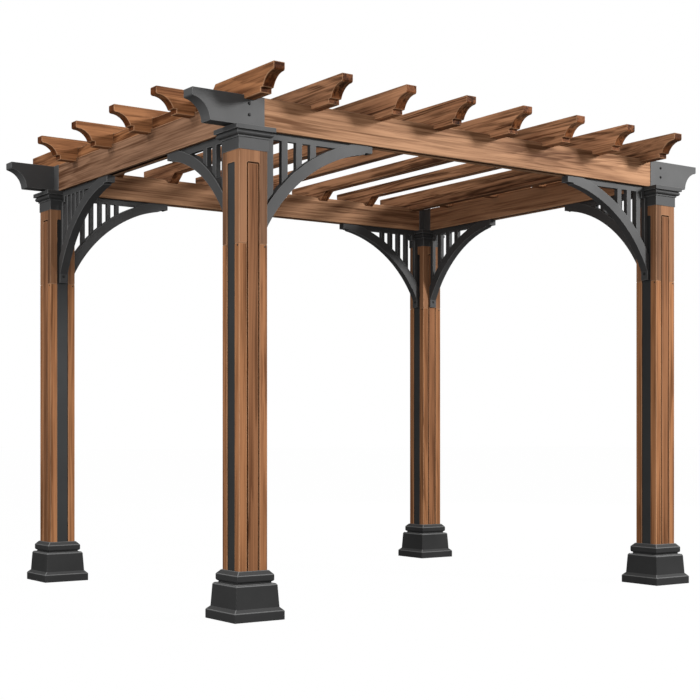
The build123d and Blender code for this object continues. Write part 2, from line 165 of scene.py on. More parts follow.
@dataclass
class NodeBench:
    """Short ways to place and wire the nodes of one tree.

    Attributes:
        tree: the shader node tree that is being wired.
    """

    tree: bpy.types.NodeTree

    def place(self, kind: str, **settings: object) -> bpy.types.Node:
        """Add a node and set its properties.

        Args:
            kind: the node's type name.
            settings: property values by name.

        Returns:
            The new node.
        """
        node = self.tree.nodes.new(kind)
        for name, value in settings.items():
            setattr(node, name, value)
        return node

    def feed(self, socket: bpy.types.NodeSocket, value: Feed) -> None:
        """Link a socket to another one, or set its constant value.

        Args:
            socket: the input that is fed.
            value: the output that it is linked to, or the constant.
        """
        if isinstance(value, bpy.types.NodeSocket):
            self.tree.links.new(value, socket)
        else:
            socket.default_value = value

    def fed(self, node: bpy.types.Node, values: tuple[Feed, ...]) -> bpy.types.Node:
        """Feed a node's inputs in their order.

        Args:
            node: the node.
            values: what its first inputs get.

        Returns:
            The same node.
        """
        for socket, value in zip(node.inputs, values):
            self.feed(socket, value)
        return node

    def math(self, operation: str, *values: Feed) -> bpy.types.NodeSocket:
        """Result of a Math node on up to three values."""
        return self.fed(self.place("ShaderNodeMath", operation=operation), values).outputs[0]

    def vector(self, operation: str, *values: Feed) -> bpy.types.Node:
        """Vector Math node, fed with vectors."""
        return self.fed(self.place("ShaderNodeVectorMath", operation=operation), values)

    def stretch(self, where: Feed, factors: Triple) -> bpy.types.NodeSocket:
        """Place multiplied by a factor along each axis."""
        return self.vector("MULTIPLY", where, factors).outputs["Vector"]

    def here(self) -> bpy.types.NodeSocket:
        """Place on the piece, in its own coordinates."""
        return self.place("ShaderNodeTexCoord").outputs["Object"]

    def facing(self) -> bpy.types.NodeSocket:
        """Way the flat face looks, before smooth shading bends it."""
        return self.place("ShaderNodeNewGeometry").outputs["True Normal"]

    def parts(self, vector: Feed) -> bpy.types.NodeOutputs:
        """X, Y and Z of a vector."""
        return self.fed(self.place("ShaderNodeSeparateXYZ"), (vector,)).outputs

    def noise(
        self, where: Feed, waves: Triple, detail: float = 2.0, gain: float = 0.5
    ) -> bpy.types.NodeSocket:
        """Noise with its own number of waves per metre along each axis.

        Args:
            where: place in metres.
            waves: waves per metre along each axis.
            detail: octaves of finer noise.
            gain: strength of each finer octave, as a share of the one before.

        Returns:
            The noise, about 0.5 in the middle.
        """
        node = self.place("ShaderNodeTexNoise")
        self.feed(node.inputs["Vector"], self.stretch(where, waves))
        for name, value in (("Scale", 1.0), ("Detail", detail), ("Roughness", gain)):
            self.feed(node.inputs[name], value)
        return node.outputs["Fac"]

    def rise(self, value: Feed, low: float, high: float) -> bpy.types.NodeSocket:
        """Smooth step.

        Args:
            value: the value that is looked at.
            low: value at which the step starts, with 0.
            high: value at which it ends, with 1.

        Returns:
            The step, from 0 to 1.
        """
        node = self.place("ShaderNodeMapRange", interpolation_type="SMOOTHSTEP")
        for name, number in (("Value", value), ("From Min", low), ("From Max", high)):
            self.feed(node.inputs[name], number)
        return node.outputs["Result"]

    def mix(self, share: Feed, first: Feed, second: Feed, blend: str = "MIX") -> bpy.types.NodeSocket:
        """Blend of two colours.

        Args:
            share: how much of the second colour, from 0 to 1.
            first: colour at share 0.
            second: colour that is blended in.
            blend: blend type of the Mix node.

        Returns:
            The mixed colour's socket.
        """
        node = self.place("ShaderNodeMix", data_type="RGBA", blend_type=blend)
        self.feed(node.inputs["Factor"], share)
        # The colour sockets share their names with those of other data types, so they go by number
        for socket, value in zip((node.inputs[6], node.inputs[7]), (first, second)):
            self.feed(socket, (*value, 1.0) if isinstance(value, tuple) else value)
        return node.outputs[2]

    def attribute(self, name: str) -> bpy.types.Node:
        """Attribute node that reads a piece's own attribute."""
        return self.place("ShaderNodeAttribute", attribute_name=name)

    def group(self, tree: bpy.types.NodeTree, place: Feed) -> bpy.types.Node:
        """Place a node group that works from a place in metres.

        Args:
            tree: the group's tree.
            place: what its Place gets.

        Returns:
            The group's node.
        """
        node = self.place("ShaderNodeGroup", node_tree=tree)
        self.feed(node.inputs["Place"], place)
        return node

    def bump(self, height: Feed, strength: float, distance: float) -> bpy.types.NodeSocket:
        """Normal that is bent by a height.

        Args:
            height: the height, from 0 to 1.
            strength: strength of the bump.
            distance: real height of a bump of 1.

        Returns:
            The bent normal.
        """
        node = self.place("ShaderNodeBump")
        for name, value in (("Height", height), ("Strength", strength), ("Distance", distance)):
            self.feed(node.inputs[name], value)
        return node.outputs["Normal"]


def start_group(
    name: str, outputs: tuple[str, ...]
) -> tuple[NodeBench, bpy.types.NodeSocket, bpy.types.Node]:
    """Make an empty shader node group that works from a place in metres.

    Args:
        name: the group's name.
        outputs: names of its value outputs.

    Returns:
        A bench on its tree, the socket of the place, and the node that takes the outputs.
    """
    tree = bpy.data.node_groups.new(name, "ShaderNodeTree")
    tree.interface.new_socket(name="Place", in_out="INPUT", socket_type="NodeSocketVector")
    for output in outputs:
        tree.interface.new_socket(name=output, in_out="OUTPUT", socket_type="NodeSocketFloat")
    bench = NodeBench(tree)
    return bench, bench.place("NodeGroupInput").outputs["Place"], bench.place("NodeGroupOutput")


@dataclass(frozen=True)
class BoardFigure:
    """Figure of a board whose grain runs along X.

    Waves and cells are per metre along, across and through the board. A span is where a smooth step
    starts and ends.

    Attributes:
        knot_cells: cells of the coarse, slightly long pattern that holds the knots.
        knotless: share of the cells that have no knot.
        knot_span: span over which a knot grows, in cells from its middle.
        swirl_span: span over which the grain parts round a knot, in cells from its middle.
        parting: how far a knot pushes the grain aside.
        wander: how far the grain wanders along the board.
        wander_waves: waves of the wandering.
        drift: direction in which the grain wanders.
        rings: contours of the slow field that are the growth rings.
        ring_waves: waves of the field.
        ragged: how ragged the rings are, in rings.
        ragged_waves: waves of the raggedness.
        late_spans: spans of a ring in which its late wood starts and stops.
        clear_waves: waves of the patches in which rings show.
        clear_span: span of those patches.
        streak_waves: waves of the streaks.
        line_waves: waves of the fine lines between the streaks.
        line_share: share of the lines in the figure, the rest being streaks.
        fibre_waves: waves of the fibres.
        fibre_share: share of the fibres in the relief, the rest being late wood.
        smoke_waves: waves of the broad dark smudges.
        smoke_span: span of the smudges.
        vein_waves: waves of the thin dark veins.
        vein_span: span of the veins.
        patch_waves: waves of the patches that have veins.
        patch_span: span of those patches.
    """

    knot_cells: Triple = (2.2, 4.6, 4.6)
    knotless: float = 0.80
    knot_span: Span = (0.09, 0.02)
    swirl_span: Span = (0.45, 0.0)
    parting: float = 0.02
    wander: float = 0.06
    wander_waves: Triple = (1.1, 3.0, 3.0)
    drift: Triple = (0.0, 1.0, 0.7)
    rings: float = 12.0
    ring_waves: Triple = (1.0, 8.0, 8.0)
    ragged: float = 0.7
    ragged_waves: Triple = (5.0, 60.0, 60.0)
    late_spans: tuple[Span, Span] = ((0.10, 0.80), (1.0, 0.86))
    clear_waves: Triple = (0.7, 5.0, 5.0)
    clear_span: Span = (0.40, 0.62)
    streak_waves: Triple = (2.6, 28.0, 28.0)
    line_waves: Triple = (2.2, 125.0, 125.0)
    line_share: float = 0.40
    fibre_waves: Triple = (9.0, 380.0, 380.0)
    fibre_share: float = 0.7
    smoke_waves: Triple = (2.4, 9.0, 9.0)
    smoke_span: Span = (0.46, 0.74)
    vein_waves: Triple = (2.2, 40.0, 40.0)
    vein_span: Span = (0.575, 0.625)
    patch_waves: Triple = (1.5, 7.0, 7.0)
    patch_span: Span = (0.42, 0.60)

    def knots(self, bench: NodeBench, place: Feed) -> list[bpy.types.NodeSocket]:
        """Find the knots, which sit in a few cells of a coarse pattern.

        Args:
            bench: bench on the group's tree.
            place: place on the board.

        Returns:
            The mask of the knots, and the wider mask of the grain that parts round them.
        """
        cells = bench.place("ShaderNodeTexVoronoi", feature="F1")
        bench.feed(cells.inputs["Vector"], bench.stretch(place, self.knot_cells))
        bench.feed(cells.inputs["Scale"], 1.0)
        chance = bench.place("ShaderNodeSeparateColor")
        bench.feed(chance.inputs["Color"], cells.outputs["Color"])
        has_knot = bench.math("GREATER_THAN", chance.outputs["Red"], self.knotless)
        return [
            bench.math("MULTIPLY", bench.rise(cells.outputs["Distance"], *span), has_knot)
            for span in (self.knot_span, self.swirl_span)
        ]

    def flow(self, bench: NodeBench, place: Feed, swirl: Feed) -> bpy.types.NodeSocket:
        """Bend the grain.

        Args:
            bench: bench on the group's tree.
            place: place on the board.
            swirl: mask of the grain that parts round the knots.

        Returns:
            The place, drifting a little as the grain wanders and parts.
        """
        parting = bench.math("MULTIPLY", swirl, self.parting)
        wander = bench.math("MULTIPLY_ADD", bench.noise(place, self.wander_waves), self.wander, parting)
        drift = bench.vector("SCALE", self.drift)
        bench.feed(drift.inputs["Scale"], wander)
        return bench.vector("ADD", place, drift.outputs["Vector"]).outputs["Vector"]

    def late_wood(self, bench: NodeBench, flow: Feed) -> bpy.types.NodeSocket:
        """Draw the growth rings as the contours of a slow field along the grain.

        Args:
            bench: bench on the group's tree.
            flow: place along the bent grain.

        Returns:
            The mask of the dark late wood.
        """
        field = bench.math("MULTIPLY", bench.noise(flow, self.ring_waves, detail=1.0), self.rings)
        ragged = bench.math("MULTIPLY_ADD", bench.noise(flow, self.ragged_waves), self.ragged, field)
        saw = bench.math("FRACT", ragged)
        return bench.math("MULTIPLY", *(bench.rise(saw, *span) for span in self.late_spans))

    @cache
    def tree(self) -> bpy.types.NodeTree:
        """Build the figure's node group.

        Returns:
            A tree that gives Rings, Streaks, Smoke, Veins, Knots and Height.
        """
        outputs = ("Rings", "Streaks", "Smoke", "Veins", "Knots", "Height")
        bench, place, made = start_group("timber_grain", outputs)
        knots, swirl = self.knots(bench, place)
        flow = self.flow(bench, place, swirl)

        late = self.late_wood(bench, flow)
        clear = bench.rise(bench.noise(place, self.clear_waves), *self.clear_span)
        rings = bench.math("MULTIPLY", late, clear)

        broad = bench.noise(flow, self.streak_waves, detail=6.0, gain=0.64)
        lines = bench.noise(flow, self.line_waves, gain=0.6)
        rest = bench.math("MULTIPLY", broad, 1.0 - self.line_share)
        streaks = bench.math("MULTIPLY_ADD", lines, self.line_share, rest)

        smoke = bench.rise(bench.noise(place, self.smoke_waves, detail=4.0), *self.smoke_span)
        thin = bench.rise(bench.noise(flow, self.vein_waves, detail=4.0, gain=0.6), *self.vein_span)
        patches = bench.rise(bench.noise(place, self.patch_waves), *self.patch_span)
        veins = bench.math("MULTIPLY", thin, patches)

        fibres = bench.noise(flow, self.fibre_waves)
        ridges = bench.math("MULTIPLY", late, 1.0 - self.fibre_share)
        height = bench.math("MULTIPLY_ADD", fibres, self.fibre_share, ridges)
        for output, value in zip(outputs, (rings, streaks, smoke, veins, knots, height)):
            bench.feed(made.inputs[output], value)
        return bench.tree


@cache
def arris_wear() -> bpy.types.NodeTree:
    """Group with a broken mask along the eased edges of a piece, for their worn pale look and their
    painted highlight.

    Returns:
        A tree that gives Mask.
    """
    bench, place, made = start_group("arris_wear", ("Mask",))
    broken = bench.rise(bench.noise(place, WEAR_AND_HIGHLIGHT_WAVES, detail=3.0), *WEAR_AND_HIGHLIGHT_SPAN)
    eased = bench.attribute("eased").outputs["Fac"]
    bench.feed(made.inputs["Mask"], bench.math("MULTIPLY", eased, broken))
    return bench.tree


@cache
def powder_coat() -> bpy.types.NodeTree:
    """Group with the slow cloud and the fine orange peel of a baked powder coat.

    Returns:
        A tree that gives Cloud and Peel.
    """
    bench, place, made = start_group("powder_coat", ("Cloud", "Peel"))
    bench.feed(made.inputs["Cloud"], bench.noise(place, CLOUD_WAVES, detail=3.0))
    bench.feed(made.inputs["Peel"], bench.noise(place, PEEL_WAVES))
    return bench.tree


def start_material(name: str) -> tuple[bpy.types.Material, NodeBench, bpy.types.Node]:
    """Make a material with only its shader and output.

    Args:
        name: the material's name.

    Returns:
        The material, a bench on its tree, and its Principled shader.
    """
    material = bpy.data.materials.new(name)
    material.use_nodes = True
    return material, NodeBench(material.node_tree), material.node_tree.nodes["Principled BSDF"]


@dataclass(frozen=True)
class TimberFinish:
    """Semi-transparent stain on softwood.

    Attributes:
        name: the finish's name.
        slot: name of its material slot.
        light: colour of the early wood.
        dark: colour of the late wood and the streaks.
        smoke: strength of the broad dark smudges, from 0 to 1.
        veins: strength of the thin dark veins, from 0 to 1.
        reach: how far the figure is drawn out along the grain.
        spread: half the span of the figure that takes the stain from light to dark.
        middle: middle of that span.
        rings: strength of the growth rings beside the streaks.
        knots: strength of the knots, from 0 to 1.
        cheek: how dark the stiles beside the gussets are, from 0 to 1.
        wear: how far the arrises are worn pale, which also paints a highlight on them, from 0 to 1.
        rough: roughness of the sealed face.
        swing: how much the roughness follows the streaks.
        sheen: specular level of the sealed face.
        relief: strength of the grain's relief.
        relief_height: height of the grain's relief.
    """

    name: str
    slot: str
    light: Triple
    dark: Triple
    smoke: float
    veins: float
    reach: float
    spread: float = 0.15
    middle: float = 0.54
    rings: float = 0.09
    knots: float = 0.85
    cheek: float = 0.0
    wear: float = 0.42
    rough: float = 0.52
    swing: float = 0.16
    sheen: float = 0.04
    relief: float = 0.22
    relief_height: float = 0.0012

    @cache
    def material(self, grain: Grain) -> bpy.types.Material:
        """Make the material for one way of the grain.

        Args:
            grain: way the grain runs.

        Returns:
            The material.
        """
        material, bench, shader = start_material(f"{self.name}_{grain.name.lower()}")
        turn = bench.place("ShaderNodeMapping")
        bench.feed(turn.inputs["Vector"], bench.here())
        bench.feed(turn.inputs["Rotation"], grain.value)
        board = bench.attribute("board").outputs["Vector"]
        moved = bench.vector("ADD", turn.outputs["Vector"], board).outputs["Vector"]
        place = bench.stretch(moved, (1.0 / self.reach, 1.0, 1.0))
        figure = bench.group(BoardFigure().tree(), place).outputs

        colour = self.stain(bench, figure)
        colour = bench.mix(self.cut_ends(bench, grain), colour, CUT_END_TINT, "MULTIPLY")
        if self.cheek:
            beside = bench.math("MULTIPLY", self.inner_stiles(bench), self.cheek)
            colour = bench.mix(beside, colour, CHEEK_TINT, "MULTIPLY")
        colour = bench.mix(1.0, colour, bench.attribute("tone").outputs["Color"], "MULTIPLY")
        # Worn arrises turn pale, which also paints a highlight along the edges
        mask = bench.group(arris_wear(), place).outputs["Mask"]
        colour = bench.mix(bench.math("MULTIPLY", mask, self.wear), colour, RUBBED_WOOD_AND_HIGHLIGHT)
        # Painted shade: faces sunk below the long faces, such as the grooves beside the inlays, are
        # darkened
        recess_shade = bench.rise(bench.attribute("sunk").outputs["Fac"], *RECESS_SHADE_SPAN)
        colour = bench.mix(recess_shade, colour, RECESS_SHADE_TINT, "MULTIPLY")

        rough = bench.math("MULTIPLY_ADD", figure["Streaks"], self.swing, self.rough - self.swing / 2)
        bench.feed(shader.inputs["Base Color"], colour)
        bench.feed(shader.inputs["Roughness"], rough)
        bench.feed(shader.inputs["Normal"], bench.bump(figure["Height"], self.relief, self.relief_height))
        bench.feed(shader.inputs["Specular IOR Level"], self.sheen)
        return material

    def stain(self, bench: NodeBench, figure: bpy.types.NodeOutputs) -> bpy.types.NodeSocket:
        """Colour a long face.

        Args:
            bench: bench on the material's tree.
            figure: outputs of the board's figure.

        Returns:
            The colour of the stained figure, with its smudges, veins and knots.
        """
        depth = bench.math("MULTIPLY_ADD", figure["Rings"], self.rings, figure["Streaks"])
        taken = bench.rise(depth, self.middle - self.spread, self.middle + self.spread)
        colour = bench.mix(taken, self.light, self.dark)
        for mask, share, tint in (
            ("Smoke", self.smoke, SMOKE_TINT),
            ("Veins", self.veins, VEIN_TINT),
            ("Knots", self.knots, KNOT_TINT),
        ):
            strength = bench.math("MULTIPLY", figure[mask], share)
            colour = bench.mix(strength, colour, tint, "MULTIPLY")
        return colour

    @staticmethod
    def inner_stiles(bench: NodeBench) -> bpy.types.NodeSocket:
        """Find the stiles on the posts' outer faces that stand next to the gussets.

        Args:
            bench: bench on the material's tree.

        Returns:
            The mask of these stiles, at all four corners.
        """
        inner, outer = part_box("post_upper_back_right")
        place = bench.parts(bench.here())
        from_middle = [bench.math("ABSOLUTE", place[axis]) for axis in (0, 1)]
        masks = []
        for across, out in ((0, 1), (1, 0)):
            near = bench.math("LESS_THAN", from_middle[across], inner[across] + STILE)
            on_face = bench.math("GREATER_THAN", from_middle[out], outer[out] - FACE_DEPTH)
            masks.append(bench.math("MULTIPLY", near, on_face))
        return bench.math("MAXIMUM", *masks)

    @staticmethod
    def cut_ends(bench: NodeBench, grain: Grain) -> bpy.types.NodeSocket:
        """Mask of the faces that are cut across the grain."""
        along = bench.vector("DOT_PRODUCT", bench.facing(), grain.axis).outputs["Value"]
        return bench.rise(bench.math("ABSOLUTE", along), *CUT_END_SPAN)


@dataclass(frozen=True)
class CoatFinish:
    """Satin black powder coat on metal.

    Attributes:
        name: the finish's name.
        slot: name of its material slot.
        colour: colour of the coat.
        edge: colour where the coat is thin on the arrises, which also serves as a painted highlight.
        gloss: specular level of the coat.
        rough: roughness of the coat.
        dust_and_top_light: how pale the faces that look up are, being dusty and lit by painted light from
            above, from 0 to 1.
        crest_highlight: how strong the painted highlight along the upper arrises is, from 0 to 1.
        clouded: share of the colour that is left in a dark cloud.
        swing: how much the roughness follows the cloud.
        peel: strength of the orange peel.
        peel_height: height of the orange peel.
    """

    name: str
    slot: str
    colour: Triple
    edge: Triple
    gloss: float = 0.26
    rough: float = 0.50
    dust_and_top_light: float = 0.0
    crest_highlight: float = 0.0
    clouded: float = 0.78
    swing: float = 0.14
    peel: float = 0.08
    peel_height: float = 0.0006

    @cache
    def material(self) -> bpy.types.Material:
        """Make the material.

        Returns:
            The material of the coat.
        """
        material, bench, shader = start_material(self.name)
        place = bench.here()
        coat = bench.group(powder_coat(), place).outputs
        shade = bench.rise(coat["Cloud"], *CLOUD_SPAN)
        colour = bench.mix(shade, self.colour, tuple(self.clouded * part for part in self.colour))
        # Worn arrises turn pale, which also paints a highlight along the edges
        colour = bench.mix(bench.group(arris_wear(), place).outputs["Mask"], colour, self.edge)
        upward = bench.parts(bench.facing())["Z"]
        # Faces that look up are paler, from a dusty film and painted light from above
        dust_and_top_light_share = bench.math("MULTIPLY", bench.rise(upward, *DUST_AND_TOP_LIGHT_SPAN), self.dust_and_top_light)
        colour = bench.mix(dust_and_top_light_share, colour, DUST_AND_TOP_LIGHT)
        # Painted highlight along the upper arrises of the coat
        ridge = bench.math("MULTIPLY", bench.rise(upward, *CREST_HIGHLIGHT_SPAN), self.crest_highlight)
        crest_highlight_mask = bench.math("MULTIPLY", bench.attribute("eased").outputs["Fac"], ridge)
        colour = bench.mix(crest_highlight_mask, colour, CREST_HIGHLIGHT_GREY)

        rough = bench.math("MULTIPLY_ADD", coat["Cloud"], self.swing, self.rough - self.swing / 2)
        bench.feed(shader.inputs["Base Color"], colour)
        bench.feed(shader.inputs["Roughness"], rough)
        bench.feed(shader.inputs["Normal"], bench.bump(coat["Peel"], self.peel, self.peel_height))
        bench.feed(shader.inputs["Specular IOR Level"], self.gloss)
        return material


POST_STAIN = TimberFinish(
    "post_stain",
    "post_timber",
    light=(0.375, 0.168, 0.074),
    dark=(0.150, 0.061, 0.025),
    smoke=0.30,
    veins=0.70,
    reach=2.6,
    spread=0.13,
)
HEAD_STAIN = TimberFinish(
    "head_stain",
    "post_timber",
    light=(0.335, 0.164, 0.083),
    dark=(0.200, 0.092, 0.045),
    smoke=0.20,
    veins=0.45,
    reach=2.6,
    cheek=0.55,
)
INLAY_STAIN = TimberFinish(
    "inlay_stain",
    "inlay_timber",
    light=(0.295, 0.131, 0.060),
    dark=(0.120, 0.050, 0.022),
    smoke=0.30,
    veins=0.65,
    reach=2.6,
    spread=0.13,
)
BEAM_STAIN = TimberFinish(
    "beam_stain",
    "beam_timber",
    light=(0.44, 0.238, 0.130),
    dark=(0.135, 0.060, 0.028),
    smoke=0.75,
    veins=0.70,
    reach=1.9,
)
LEFT_BEAM_STAIN = replace(
    BEAM_STAIN,
    name="left_beam_stain",
    light=(0.305, 0.170, 0.102),
    dark=(0.092, 0.041, 0.021),
)
SIDE_STAIN = TimberFinish(
    "side_stain",
    "rafter_timber",
    light=(0.38, 0.168, 0.073),
    dark=(0.11, 0.041, 0.016),
    smoke=0.75,
    veins=0.80,
    reach=1.5,
)
RAFTER_STAIN = TimberFinish(
    "rafter_stain",
    "rafter_timber",
    light=(0.45, 0.222, 0.114),
    dark=(0.085, 0.036, 0.016),
    smoke=0.90,
    veins=0.95,
    reach=1.5,
    spread=0.12,
)
FOOT_COAT = CoatFinish(
    "foot_coat", "cast_black", grey(0.034), grey(0.040), gloss=0.08, rough=0.52, dust_and_top_light=0.18, crest_highlight=0.42
)
CAP_COAT = CoatFinish("cap_coat", "cast_black", grey(0.047), grey(0.15), gloss=0.17, rough=0.44)
PLATE_COAT = CoatFinish("plate_coat", "plate_black", grey(0.072), grey(0.16), gloss=0.24)
GUSSET_COAT = CoatFinish("gusset_coat", "gusset_black", grey(0.050), grey(0.16), gloss=0.23)
STRIP_COAT = CoatFinish("strip_coat", "strip_black", (0.026, 0.027, 0.027), grey(0.07))
BOLT_COAT = CoatFinish("bolt_coat", "plate_black", grey(0.020), grey(0.05), gloss=0.2)


def crease(shape: bmesh.types.BMesh) -> None:
    """Break the shading at sharp edges and along the eased ones, so that flat faces look flat.

    Args:
        shape: the shape, whose eased faces may be marked.
    """
    mark = shape.faces.layers.float.get("eased")
    for face in shape.faces:
        face.smooth = True
    for edge in shape.edges:
        kinds = {face[mark] for face in edge.link_faces} if mark else set()
        edge.smooth = len(kinds) < 2 and edge.calc_face_angle(math.pi) < SMOOTH_ANGLE


def add_piece(
    name: str, shape: bmesh.types.BMesh, material: bpy.types.Material, slot: str
) -> bpy.types.Object:
    """Turn a finished shape into a piece of the pergola.

    Args:
        name: the piece's name.
        shape: the shape, which is used up.
        material: its finish.
        slot: not used.

    Returns:
        The piece, riding on the frame.
    """
    mesh = bpy.data.meshes.new(name)
    crease(shape)
    shape.to_mesh(mesh)
    shape.free()
    mesh.materials.clear()
    mesh.materials.append(material)
    piece = bpy.data.objects.new(name, mesh)
    bpy.context.scene.collection.objects.link(piece)
    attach(piece, BODY)
    log.info("%s: %d faces", name, len(mesh.polygons))
    return piece


def islands(shape: bmesh.types.BMesh) -> Iterator[list[bmesh.types.BMVert]]:
    """Take a shape apart into its separate solids.

    Args:
        shape: the shape.

    Returns:
        The vertices of each solid, the solids in order of place.
    """
    seen: set[bmesh.types.BMVert] = set()
    for start in sorted(shape.verts, key=lambda vertex: tuple(vertex.co)):
        if start in seen:
            continue
        solid, reached = [], [start]
        seen.add(start)
        while reached:
            vertex = reached.pop()
            solid.append(vertex)
            for edge in vertex.link_edges:
                other = edge.other_vert(vertex)
                if other not in seen:
                    seen.add(other)
                    reached.append(other)
        yield solid


@dataclass
class SubAssembly:
    """Pieces of one kind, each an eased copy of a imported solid.

    Attributes:
        nodes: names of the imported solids.
        arris: width of the eased edges.
        segments: faces across an eased edge.
    """

    nodes: tuple[str, ...]
    arris: float
    segments: int = 2

    def eased_copy(self, node: str) -> bmesh.types.BMesh:
        """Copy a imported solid, join its triangles and ease its outer edges.

        Args:
            node: the solid's name.

        Returns:
            The shape, with its eased faces marked.
        """
        shape = bmesh.new()
        shape.from_mesh(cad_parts[node].data)
        bmesh.ops.remove_doubles(shape, verts=shape.verts, dist=WELD)
        bmesh.ops.dissolve_limit(shape, angle_limit=FLAT_ANGLE, verts=shape.verts, edges=shape.edges)
        mark = shape.faces.layers.float.new("eased")
        outer = [edge for edge in shape.edges if edge.calc_face_angle_signed(0.0) > SHARP_ANGLE]
        eased = bmesh.ops.bevel(
            shape,
            geom=outer,
            offset=self.arris,
            offset_type="OFFSET",
            affect="EDGES",
            segments=self.segments,
            profile=0.5,
            clamp_overlap=True,
            material=-1,
        )
        for face in eased["faces"]:
            face[mark] = 1.0
        return shape

    def stand_in(
        self, node: str, shape: bmesh.types.BMesh, material: bpy.types.Material, slot: str
    ) -> None:
        """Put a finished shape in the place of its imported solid."""
        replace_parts(add_piece(f"{node}_finished", shape, material, slot), node)


@dataclass
class Timbers(SubAssembly):
    """Stained timbers, each cut from its own board.

    Attributes:
        finish: the stain.
        grain: way the grain runs.
        tone_range: how much lighter or darker one board may be than another.
    """

    finish: TimberFinish = POST_STAIN
    grain: Grain = Grain.ALONG_Z
    tone_range: float = 0.10

    def mark_boards(self, node: str, shape: bmesh.types.BMesh) -> None:
        """Give each solid of a shape its own stretch of the figure, its own tone and its recesses.

        Args:
            node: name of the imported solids, which settles the draw.
            shape: the shape that takes the marks "board", "tone" and "sunk".
        """
        draw = random.Random(zlib.crc32(node.encode()))
        board = shape.verts.layers.float_vector.new("board")
        tone = shape.verts.layers.float_color.new("tone")
        sunk = shape.verts.layers.float.new("sunk")
        turn = Euler(self.grain.value).to_matrix()
        for solid in islands(shape):
            middle = sum((vertex.co for vertex in solid), Vector()) / len(solid)
            cut = Vector([draw.uniform(*span) for span in CUT_SPANS])
            shift = cut - turn @ middle
            shade = 1.0 + draw.uniform(-self.tone_range, self.tone_range)
            for vertex, depth in zip(solid, self.depths_below_faces(solid)):
                vertex[board] = shift
                vertex[tone] = (shade, shade, shade, 1.0)
                vertex[sunk] = depth

    def depths_below_faces(self, solid: list[bmesh.types.BMVert]) -> list[float]:
        """Measure how deep the vertices of one timber are below its four long faces.

        Args:
            solid: the timber's vertices.

        Returns:
            Each vertex's depth below the nearest long face.
        """
        depths = [math.inf] * len(solid)
        for axis, along in enumerate(self.grain.axis):
            if along:
                continue
            places = [vertex.co[axis] for vertex in solid]
            low, high = min(places), max(places)
            depths = [min(depth, place - low, high - place) for depth, place in zip(depths, places)]
        return depths

    def build(self) -> None:
        """Make every timber and put it in its place."""
        for node in self.nodes:
            shape = self.eased_copy(node)
            self.mark_boards(node, shape)
            self.stand_in(node, shape, self.finish.material(self.grain), self.finish.slot)


@dataclass
class Metalwork(SubAssembly):
    """Powder-coated castings and plates.

    Attributes:
        finish: the coat.
    """

    finish: CoatFinish = CAP_COAT

    def build(self) -> None:
        """Make every casting or plate and put it in its place."""
        for node in self.nodes:
            self.stand_in(node, self.eased_copy(node), self.finish.material(), self.finish.slot)


@dataclass
class Fasteners:
    """Bolts or screws of one size, in one joined mesh.

    Attributes:
        name: the piece's name.
        head: radius across the corners of a head.
        height: height of a head.
        washer: radius of a washer.
        washer_height: thickness of a washer.
        sides: sides of a head.
        washer_sides: sides of a washer.
        taper: radius at the top of a head or washer, as a share of that at its foot.
        rim: width of the eased rim, as a share of the height.
    """

    name: str
    head: float
    height: float
    washer: float
    washer_height: float
    sides: int = 6
    washer_sides: int = 20
    taper: float = 0.9
    rim: float = 0.25

    def __post_init__(self) -> None:
        """Start with an empty mesh."""
        self.shape = bmesh.new()

    def drive(self, where: Vector, out: Vector) -> None:
        """Add one bolt.

        Args:
            where: point on the face that it is driven into.
            out: direction out of that face.
        """
        turn = out.to_track_quat("Z", "Y").to_matrix().to_4x4()
        for sides, radius, foot, depth in (
            (self.washer_sides, self.washer, 0.0, self.washer_height),
            (self.sides, self.head, self.washer_height, self.height),
        ):
            middle = Matrix.Translation(where + out * (foot + depth / 2))
            made = bmesh.ops.create_cone(
                self.shape,
                cap_ends=True,
                segments=sides,
                radius1=radius,
                radius2=radius * self.taper,
                depth=depth,
                matrix=middle @ turn,
            )
            edges = {edge for vertex in made["verts"] for edge in vertex.link_edges}
            bmesh.ops.bevel(
                self.shape,
                geom=list(edges),
                offset=depth * self.rim,
                affect="EDGES",
                segments=2,
                profile=0.5,
                clamp_overlap=True,
                material=-1,
            )

    def build(self) -> None:
        """Join the bolts into one piece."""
        add_piece(self.name, self.shape, BOLT_COAT.material(), BOLT_COAT.slot)


@dataclass
class BracketBolts:
    """Pair of bolts through the outer plate of each corner bracket.

    Attributes:
        below_top: depths of the bolts below the bracket's top.
    """

    below_top: tuple[float, float] = (0.034, 0.082)

    def build(self) -> None:
        """Drive the bolts into the face that looks out of the pergola."""
        bolts = Fasteners(
            "bracket_bolts", head=0.0058, height=0.004, washer=0.0078, washer_height=0.0014
        )
        for corner in CORNERS:
            low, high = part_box(f"bracket_{corner}")
            post = middle_of(f"foot_{corner}")
            outward = -1.0 if corner.startswith("front") else 1.0
            face = low.y if outward < 0 else high.y
            for depth in self.below_top:
                bolts.drive(Vector((post.x, face, high.z - depth)), Vector((0.0, outward, 0.0)))
        bolts.build()


